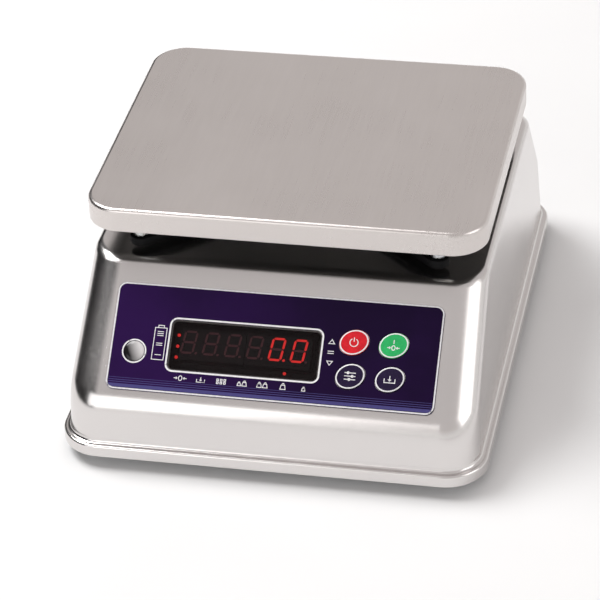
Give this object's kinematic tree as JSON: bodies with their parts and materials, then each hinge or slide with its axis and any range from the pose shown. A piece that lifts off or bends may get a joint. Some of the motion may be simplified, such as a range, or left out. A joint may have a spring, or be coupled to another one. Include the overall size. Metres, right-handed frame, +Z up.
{
  "type": "bench scale",
  "caption": "Bench weighing scale with a stainless drawn housing, flat square pan on a spider, sloped front panel with display and oval keys, and screw feet.",
  "frame": {"origin": "on the floor, under the middle of the base's rim", "axes": "+Z up, front panel towards -Y, +X to the user's right"},
  "size_m": [0.246, 0.298, 0.134],
  "materials": {
    "housing_steel": "drawn stainless, polished satin",
    "pan_steel": "stainless, fine brushed satin",
    "plate_steel": "plain mill-finish sheet",
    "fastener_steel": "bright zinc",
    "cell_aluminium": "milled",
    "spider_casting": "black powder coat",
    "black_rubber": "matt",
    "cap_rubber": "matt",
    "overlay_film": "printed film, semi-gloss",
    "window_lens": "smoked red, gloss",
    "digit_plastic": "red display",
    "key_red": "semi-gloss film",
    "key_green": "semi-gloss film",
    "key_indigo": "semi-gloss film",
    "circuit_board": "solder mask",
    "black_plastic": "moulded",
    "level_glass": "clear",
    "vial_metal": "polished cup"
  },
  "bodies": {
    "base": {"housing": "housing_steel", "base_plate": "plate_steel", "base_gasket": "black_rubber", "base_screw_1": "fastener_steel", "base_screw_2": "fastener_steel", "base_screw_3": "fastener_steel", "base_screw_4": "fastener_steel", "base_screw_5": "fastener_steel", "base_screw_6": "fastener_steel", "foot_nut_front_left": "fastener_steel", "foot_nut_front_right": "fastener_steel", "foot_nut_rear_left": "fastener_steel", "foot_nut_rear_right": "fastener_steel", "load_cell": "cell_aluminium", "cell_base_block": "cell_aluminium", "cell_lower_screw_1": "fastener_steel", "cell_lower_screw_2": "fastener_steel", "overload_stop": "fastener_steel", "post_seal": "black_rubber", "seal_ring": "plate_steel", "panel_overlay": "overlay_film", "display_window": "window_lens", "display_board": "circuit_board", "digit_module_left": "digit_plastic", "digit_module_right": "digit_plastic", "switch_off": "black_plastic", "switch_on_zero": "black_plastic", "switch_set": "black_plastic", "switch_tare": "black_plastic", "level_window": "level_glass", "level_vial": "vial_metal", "main_board": "circuit_board", "battery": "black_plastic", "battery_strap": "plate_steel", "charge_socket": "black_plastic"},
    "carrier": {"cell_spacer": "cell_aluminium", "cell_bracket": "plate_steel", "cell_upper_screw_1": "fastener_steel", "cell_upper_screw_2": "fastener_steel", "post": "cell_aluminium", "pan_spider": "spider_casting", "spider_screw": "fastener_steel", "pan_peg_front_left": "fastener_steel", "pan_peg_front_right": "fastener_steel", "pan_peg_rear_left": "fastener_steel", "pan_peg_rear_right": "fastener_steel"},
    "pan": {"pan": "pan_steel"},
    "key_off": {"key_off": "key_red"},
    "key_on_zero": {"key_on_zero": "key_green"},
    "key_set": {"key_set": "key_indigo"},
    "key_tare": {"key_tare": "key_indigo"},
    "foot_stud_front_left": {"foot_stud_front_left": "fastener_steel"},
    "foot_pad_front_left": {"foot_pad_front_left": "black_rubber"},
    "foot_stud_front_right": {"foot_stud_front_right": "fastener_steel"},
    "foot_pad_front_right": {"foot_pad_front_right": "black_rubber"},
    "foot_stud_rear_left": {"foot_stud_rear_left": "fastener_steel"},
    "foot_pad_rear_left": {"foot_pad_rear_left": "black_rubber"},
    "foot_stud_rear_right": {"foot_stud_rear_right": "fastener_steel"},
    "foot_pad_rear_right": {"foot_pad_rear_right": "black_rubber"},
    "socket_cap": {"socket_cap": "cap_rubber"}
  },
  "joints": [
    {"name": "weighing_travel", "type": "slide", "parent": "base", "child": "carrier", "axis": [0, 0, -1], "range_m": [0, 0.00025], "stiffness_N_per_m": 120000, "springref_m": -0.0002, "deforming": ["load_cell"]},
    {"name": "pan_lift", "type": "slide", "parent": "carrier", "child": "pan", "axis": [0, 0, 1], "range_m": [0, 0.04]},
    {"name": "key_off_press", "type": "slide", "parent": "base", "child": "key_off", "axis": [0, 0.6508, -0.7593], "range_m": [0, 0.0005], "stiffness_N_per_m": 1200, "springref_m": -0.0002},
    {"name": "key_on_zero_press", "type": "slide", "parent": "base", "child": "key_on_zero", "axis": [0, 0.6508, -0.7593], "range_m": [0, 0.0005], "stiffness_N_per_m": 1200, "springref_m": -0.0002},
    {"name": "key_set_press", "type": "slide", "parent": "base", "child": "key_set", "axis": [0, 0.6508, -0.7593], "range_m": [0, 0.0005], "stiffness_N_per_m": 1200, "springref_m": -0.0002},
    {"name": "key_tare_press", "type": "slide", "parent": "base", "child": "key_tare", "axis": [0, 0.6508, -0.7593], "range_m": [0, 0.0005], "stiffness_N_per_m": 1200, "springref_m": -0.0002},
    {"name": "foot_front_left_height", "type": "slide", "parent": "base", "child": "foot_stud_front_left", "axis": [0, 0, -1], "range_m": [0, 0.005]},
    {"name": "foot_front_left_turn", "type": "hinge", "parent": "foot_stud_front_left", "child": "foot_pad_front_left", "pos_m": [-0.095, -0.119, 0], "axis": [0, 0, -1], "range_deg": [0, 1800]},
    {"name": "foot_front_right_height", "type": "slide", "parent": "base", "child": "foot_stud_front_right", "axis": [0, 0, -1], "range_m": [0, 0.005]},
    {"name": "foot_front_right_turn", "type": "hinge", "parent": "foot_stud_front_right", "child": "foot_pad_front_right", "pos_m": [0.095, -0.119, 0], "axis": [0, 0, -1], "range_deg": [0, 1800]},
    {"name": "foot_rear_left_height", "type": "slide", "parent": "base", "child": "foot_stud_rear_left", "axis": [0, 0, -1], "range_m": [0, 0.005]},
    {"name": "foot_rear_left_turn", "type": "hinge", "parent": "foot_stud_rear_left", "child": "foot_pad_rear_left", "pos_m": [-0.095, 0.119, 0], "axis": [0, 0, -1], "range_deg": [0, 1800]},
    {"name": "foot_rear_right_height", "type": "slide", "parent": "base", "child": "foot_stud_rear_right", "axis": [0, 0, -1], "range_m": [0, 0.005]},
    {"name": "foot_rear_right_turn", "type": "hinge", "parent": "foot_stud_rear_right", "child": "foot_pad_rear_right", "pos_m": [0.095, 0.119, 0], "axis": [0, 0, -1], "range_deg": [0, 1800]},
    {"name": "socket_cap_pull", "type": "slide", "parent": "base", "child": "socket_cap", "axis": [0, 0.9994, 0.0349], "range_m": [0, 0.015]}
  ],
  "couplings": [
    {"joint": "foot_front_left_height", "follows": "foot_front_left_turn", "m_per_rad": 0.000159},
    {"joint": "foot_front_right_height", "follows": "foot_front_right_turn", "m_per_rad": 0.000159},
    {"joint": "foot_rear_left_height", "follows": "foot_rear_left_turn", "m_per_rad": 0.000159},
    {"joint": "foot_rear_right_height", "follows": "foot_rear_right_turn", "m_per_rad": 0.000159}
  ]
}
